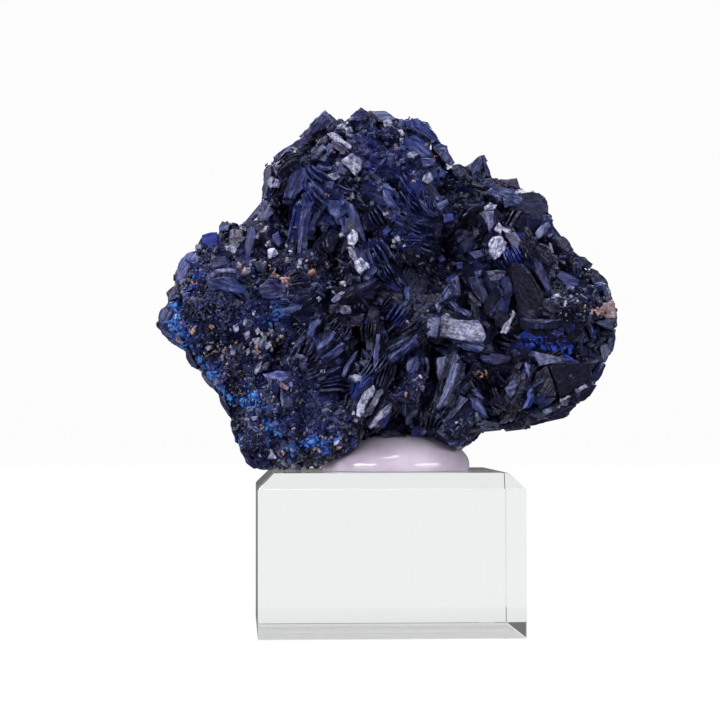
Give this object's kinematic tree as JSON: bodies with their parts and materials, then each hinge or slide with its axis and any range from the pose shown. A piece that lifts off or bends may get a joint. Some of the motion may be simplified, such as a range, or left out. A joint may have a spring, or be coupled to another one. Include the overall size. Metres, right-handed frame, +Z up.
{
  "type": "azurite specimen on a display block",
  "caption": "Cluster of tabular dark blue azurite crystals held by a dome of white glue on a clear, chamfered display block; it rests on the block's flat base.",
  "frame": {"origin": "centre of the block's bottom face, on the surface that it rests on", "axes": "+Z up; the side that is shown faces -Y; +X is the specimen's right as it is shown"},
  "size_m": [0.0692, 0.038, 0.0778],
  "materials": {
    "clear_block": "polished",
    "mounting_glue": "gloss",
    "azurite_cluster": "satin"
  },
  "bodies": {
    "root": {"clear_block": "clear_block", "mounting_glue": "mounting_glue", "azurite_cluster": "azurite_cluster"}
  },
  "joints": []
}
